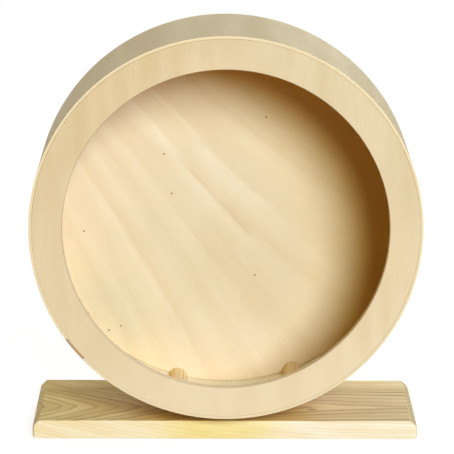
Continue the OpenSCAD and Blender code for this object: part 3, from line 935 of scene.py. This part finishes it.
# Patches of painted shade, darker towards their middles.
for patch_x, patch_up, reach, tint in DISC_PAINTED_SHADES:
    from_patch = measure(tree, "DISTANCE", face, (patch_x, patch_up, 0.0))
    colour = mix_colour(tree, fade(tree, from_patch, 0.4 * reach, reach, 1.0, 0.0), colour, tint,
                        "MULTIPLY")
front_face = calc(tree, "LESS_THAN", y, DISC_FRONT + 0.002)
for pin in PIN_KNOTS:
    from_pin = measure(tree, "DISTANCE", face, (*pin, 0.0))
    mark = times(tree, fade(tree, from_pin, 0.3 * PIN_R, PIN_R, 0.95, 0.0), front_face)
    colour = mix_colour(tree, mark, colour, paint(96, 66, 34))
birch_surface(tree, colour, height, fibre, DISC_BOUNCE_SHADE_TINT)
dress(disc, disc_birch)
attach(disc, "wheel")
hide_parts("back_disc")

# Rungs: strips of half-round moulding, cut to fit between the ring and the disc and glued to the
# track, flat side down. The first one is modelled and the rest are copies of it.
RUNG_COUNT = 10
FIRST_RUNG = 3.35 + 180 / RUNG_COUNT
RUNG_ROUND = 0.008005
RUNG_AXIS = 0.149747
RUNG_FLAT = 0.147744
RUNG_EASE = 0.0002
model_rung = bar_along_axle(RUNG_ROUND, WHEEL_FRONT + RING_T, DISC_FRONT,
                            at=(0, AXLE_Z - RUNG_AXIS))
open_piece(model_rung)
saw((0, 0, AXLE_Z - RUNG_FLAT), (0, 0, 1), use_fill=True, clear_inner=True)
close_piece()
ease_edges(model_rung, RUNG_EASE, 25)

rung_wood, tree = new_material("rung_wood")
x, y, z = split(tree, own_place(tree))
wood = use_group(tree, trunk_rings, Place=join(tree, y, z, x), Pith=0.21, Ridge=0.0, Bow=0.3,
                 Bow_Middle=0.0, Ring_Width=0.0030, Sway=0.003, Seed=7.0)
pine_surface(tree, wood, pale=paint(243, 227, 180), mid=paint(232, 212, 161),
             dark=paint(186, 152, 94), late_share=0.6,
             ends=times(tree, end_grain(tree, (0, 1, 0)), 0.25))
for number in range(RUNG_COUNT):
    rung = bpy.data.objects.new(f"rung_strip_{number + 1:02d}", model_rung.data.copy())
    bpy.context.scene.collection.objects.link(rung)
    rung.data.transform(about_axle(-math.radians(FIRST_RUNG + number * 360 / RUNG_COUNT)))
    dress(rung, rung_wood)
    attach(rung, "wheel")
    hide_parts(f"rung_{number + 1:02d}")
bpy.data.objects.remove(model_rung)

# Hub block: a turned plywood block, screwed and glued to the back of the disc. Its front has a
# six-sided seat for the bolt's head, and four screws are sunk into its back.
HUB_R = 0.035
HUB_BACK = 0.0445
HUB_CHAMFER = 0.001
HUB_EASE = 0.0002
HUB_RIM_SKIN = 0.0009
HUB_BORE_R = 0.00405
HEAD_SEAT = 0.0400
HEAD_ROOM = 0.00005
HEX_R = 0.0065 / math.cos(math.pi / 6)
HUB_SCREW_CIRCLE = 0.025
HUB_SCREW_HOLE = {"head_r": 0.00305, "shank_r": 0.00155, "length": 0.012}


def turned_hexagon(radius, y_from, y_to):
    """A six-sided bar along the axle with two of its corners level."""
    bar = bar_along_axle(radius, y_from, y_to, 6)
    bar.data.transform(about_axle(math.pi / 6))
    return bar


hub = bar_along_axle(HUB_R, WHEEL_BACK, HUB_BACK, 192, name="hub_disc")
open_piece(hub)
plane_edges(HUB_CHAMFER, 1, lambda ends: on_circle(ends, HUB_R, HUB_BACK))
close_piece()
ease_edges(hub, HUB_EASE)
hub_screw_places = [(HUB_SCREW_CIRCLE * math.cos(math.radians(a)),
                     AXLE_Z + HUB_SCREW_CIRCLE * math.sin(math.radians(a)))
                    for a in (45, 135, 225, 315)]
cut_away(hub, bar_along_axle(HUB_BORE_R, WHEEL_BACK - OVERRUN, HUB_BACK + OVERRUN, 64),
         turned_hexagon(HEX_R + HEAD_ROOM, WHEEL_BACK - OVERRUN, HEAD_SEAT),
         *(screw_cutter(x, z, HUB_BACK, **HUB_SCREW_HOLE) for x, z in hub_screw_places))

hub_birch, tree = new_material("hub_birch")
place = own_place(tree)
x, y, z = split(tree, place)
wood = use_group(tree, birch_veneer, Place=join(tree, x, z, y), Figure_Length=0.09,
                 Figure_Width=0.010, Fibre_Length=0.007, Fibre_Width=0.0005, Seed=17.0)
colour, height, fibre = birch_colours(
    tree, wood, pale=paint(240, 222, 182), mid=paint(230, 206, 160), dark=paint(198, 166, 116),
    fibre_share=0.22, speck_share=0.5)
layers = use_group(tree, ply_edge, Place=place, Depth=minus(tree, y, WHEEL_BACK),
                   Thickness=HUB_BACK - WHEEL_BACK, Layers=7.0)
rim = above(tree, by_axle(tree, x, z)[1], HUB_R - HUB_RIM_SKIN)
colour = show_layers(tree, colour, rim, layers, cross_share=0.6, glue_share=0.6,
                     pale=paint(236, 212, 168), dark=paint(196, 160, 112), glue=paint(120, 86, 54))
birch_surface(tree, colour, height, fibre)
dress(hub, hub_birch)
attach(hub, "wheel")
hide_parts("hub_block")

# Axle bolt: a zinc-plated steel bolt, threaded to its head, which sits in the hub block. It turns
# with the wheel in the bearings.
BOLT_R = 0.00395
THREAD_PITCH = 0.00125
THREAD_DEPTH = 0.54 * THREAD_PITCH
# The outline of one turn of the thread, as shares of its depth and of its pitch.
THREAD_SHAPE = ((0, 0), (0, 0.125), (1, 0.4375), (1, 0.6875), (0, 1))
BOLT_END = 0.0800
END_TAPER = 0.001
END_NARROWING = 0.13
HEAD_HEIGHT = 0.0053
HEAD_CHAMFER = 0.0006


def threaded_bar(name, y_from, y_to, outer_r):
    """A bar along the axle with a 60 degree thread, cut square at its ends."""
    mesh = bpy.data.meshes.new(name)
    mesh.from_pydata([(outer_r - sunk * THREAD_DEPTH, y_from + (share - 1) * THREAD_PITCH, 0)
                      for sunk, share in THREAD_SHAPE], [(i, i + 1) for i in range(4)], [])
    bar = bpy.data.objects.new(name, mesh)
    bpy.context.scene.collection.objects.link(bar)
    turns = math.ceil((y_to - y_from) / THREAD_PITCH) + 2
    apply_modifier(bar, "SCREW", axis="Y", angle=2 * math.pi, screw_offset=THREAD_PITCH,
                   iterations=turns, steps=32, render_steps=32)
    bar.data.transform(Matrix.Translation((0, 0, AXLE_Z)))
    open_piece(bar)
    merge_points(TOUCH)
    saw((0, y_from, 0), (0, 1, 0), use_fill=True, clear_inner=True)
    saw((0, y_to, 0), (0, 1, 0), use_fill=True, clear_outer=True)
    bpy.ops.mesh.select_all(action="SELECT")
    bpy.ops.mesh.normals_make_consistent(inside=False)
    close_piece()
    return bar


bolt = threaded_bar("axle_bolt_threaded", HEAD_SEAT - OVERRUN, BOLT_END, BOLT_R)
for vertex in bolt.data.vertices:
    turned_down = max(0, vertex.co.y - (BOLT_END - END_TAPER)) / END_TAPER
    share = 1 - END_NARROWING * turned_down
    vertex.co.x *= share
    vertex.co.z = AXLE_Z + (vertex.co.z - AXLE_Z) * share
head_front = HEAD_SEAT - HEAD_HEIGHT
head = turned_hexagon(HEX_R, head_front, HEAD_SEAT)
open_piece(head)
plane_edges(HEAD_CHAMFER, 1, lambda ends: all(p.y < head_front + TOUCH for p in ends))
close_piece()
apply_modifier(bolt, "BOOLEAN", operation="UNION", object=head, solver="EXACT")
bpy.data.objects.remove(head)
bpy.ops.object.shade_smooth_by_angle(angle=math.radians(35))

# Zinc plating and ground steel: fine scratches that run one way, clouded patches in the shine, and
# dull spots.
steel_wear, given, made = start_group("steel_wear", {"Place": None}, ("Cloud", "Scratch", "Spot"))
tree = steel_wear
fill(tree, made["Cloud"], noise(tree, given["Place"], 260, 3.0, 0.6, 1.0))
scratch = drawn_noise(tree, given["Place"], (300, 9000, 5200), 2.0, 0.6, 2.0)
fill(tree, made["Scratch"], fade(tree, scratch, 0.60, 0.75))
fill(tree, made["Spot"], fade(tree, noise(tree, given["Place"], 900, 1.0, 0.5, 3.0), 0.66, 0.76))


def steel_material(name, bright, dull, base_rough):
    """Metal with a plain Metallic of 1, its shine broken up by wear."""
    material, tree = new_material(name)
    wear = use_group(tree, steel_wear, Place=own_place(tree))
    cloud = fade(tree, wear["Cloud"], 0.3, 0.7)
    colour = mix_colour(tree, cloud, bright, dull)
    colour = mix_colour(tree, times(tree, wear["Spot"], 0.5), colour, dull, "MULTIPLY")
    rough = plus(tree, base_rough, times(tree, cloud, 0.12))
    rough = plus(tree, rough, times(tree, wear["Scratch"], 0.15))
    bump = add_node(tree, "Bump", Strength=0.15, Distance=0.00005, Height=wear["Scratch"])
    finish_material(tree, add_node(tree, "BsdfPrincipled", Base_Color=colour, Metallic=1.0,
                                   Roughness=rough, Normal=bump.outputs[0]))
    return material


zinc = steel_material("zinc_plate", paint(205, 208, 212), paint(176, 180, 186), 0.26)
dress(bolt, zinc)
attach(bolt, "wheel")
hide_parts("axle_bolt")

# Nuts, washer, shims, spacer and screws: plain zinc-plated hardware, and the lock nut's nylon ring.
# Their solids already have their chamfers, recesses and bores, so they are kept and only get their
# finish here.
for name in ("hub_nut", "hub_washer", "front_shim", "rear_shim", "race_spacer", "lock_nut",
             "hub_screws", "post_screws"):
    dress(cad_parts[name], zinc)

nylon, tree = new_material("nylon_ring")
cloud = noise(tree, own_place(tree), 500, 2.0, 0.5, 0.0)
colour = mix_colour(tree, cloud, paint(236, 236, 228), paint(218, 218, 208))
finish_material(tree, add_node(tree, "BsdfPrincipled", Base_Color=colour, Roughness=0.45))
dress(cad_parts["lock_nut_insert"], nylon)

# Bearings: two standard ball bearings, pressed into the post. Their races are ground bright, the
# shields are pressed from thin sheet, and the balls are polished.
race_steel = steel_material("race_steel", paint(214, 216, 220), paint(192, 195, 200), 0.16)
shield_steel = steel_material("shield_steel", paint(188, 190, 194), paint(164, 166, 170), 0.32)
ball_steel = steel_material("ball_steel", paint(222, 224, 228), paint(210, 212, 216), 0.06)
for end in ("front", "rear"):
    for part, steel in (("outer_race", race_steel), ("inner_race", race_steel),
                        ("shields", shield_steel), ("cage", shield_steel), ("balls", ball_steel)):
        dress(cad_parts[f"{end}_bearing_{part}"], steel)
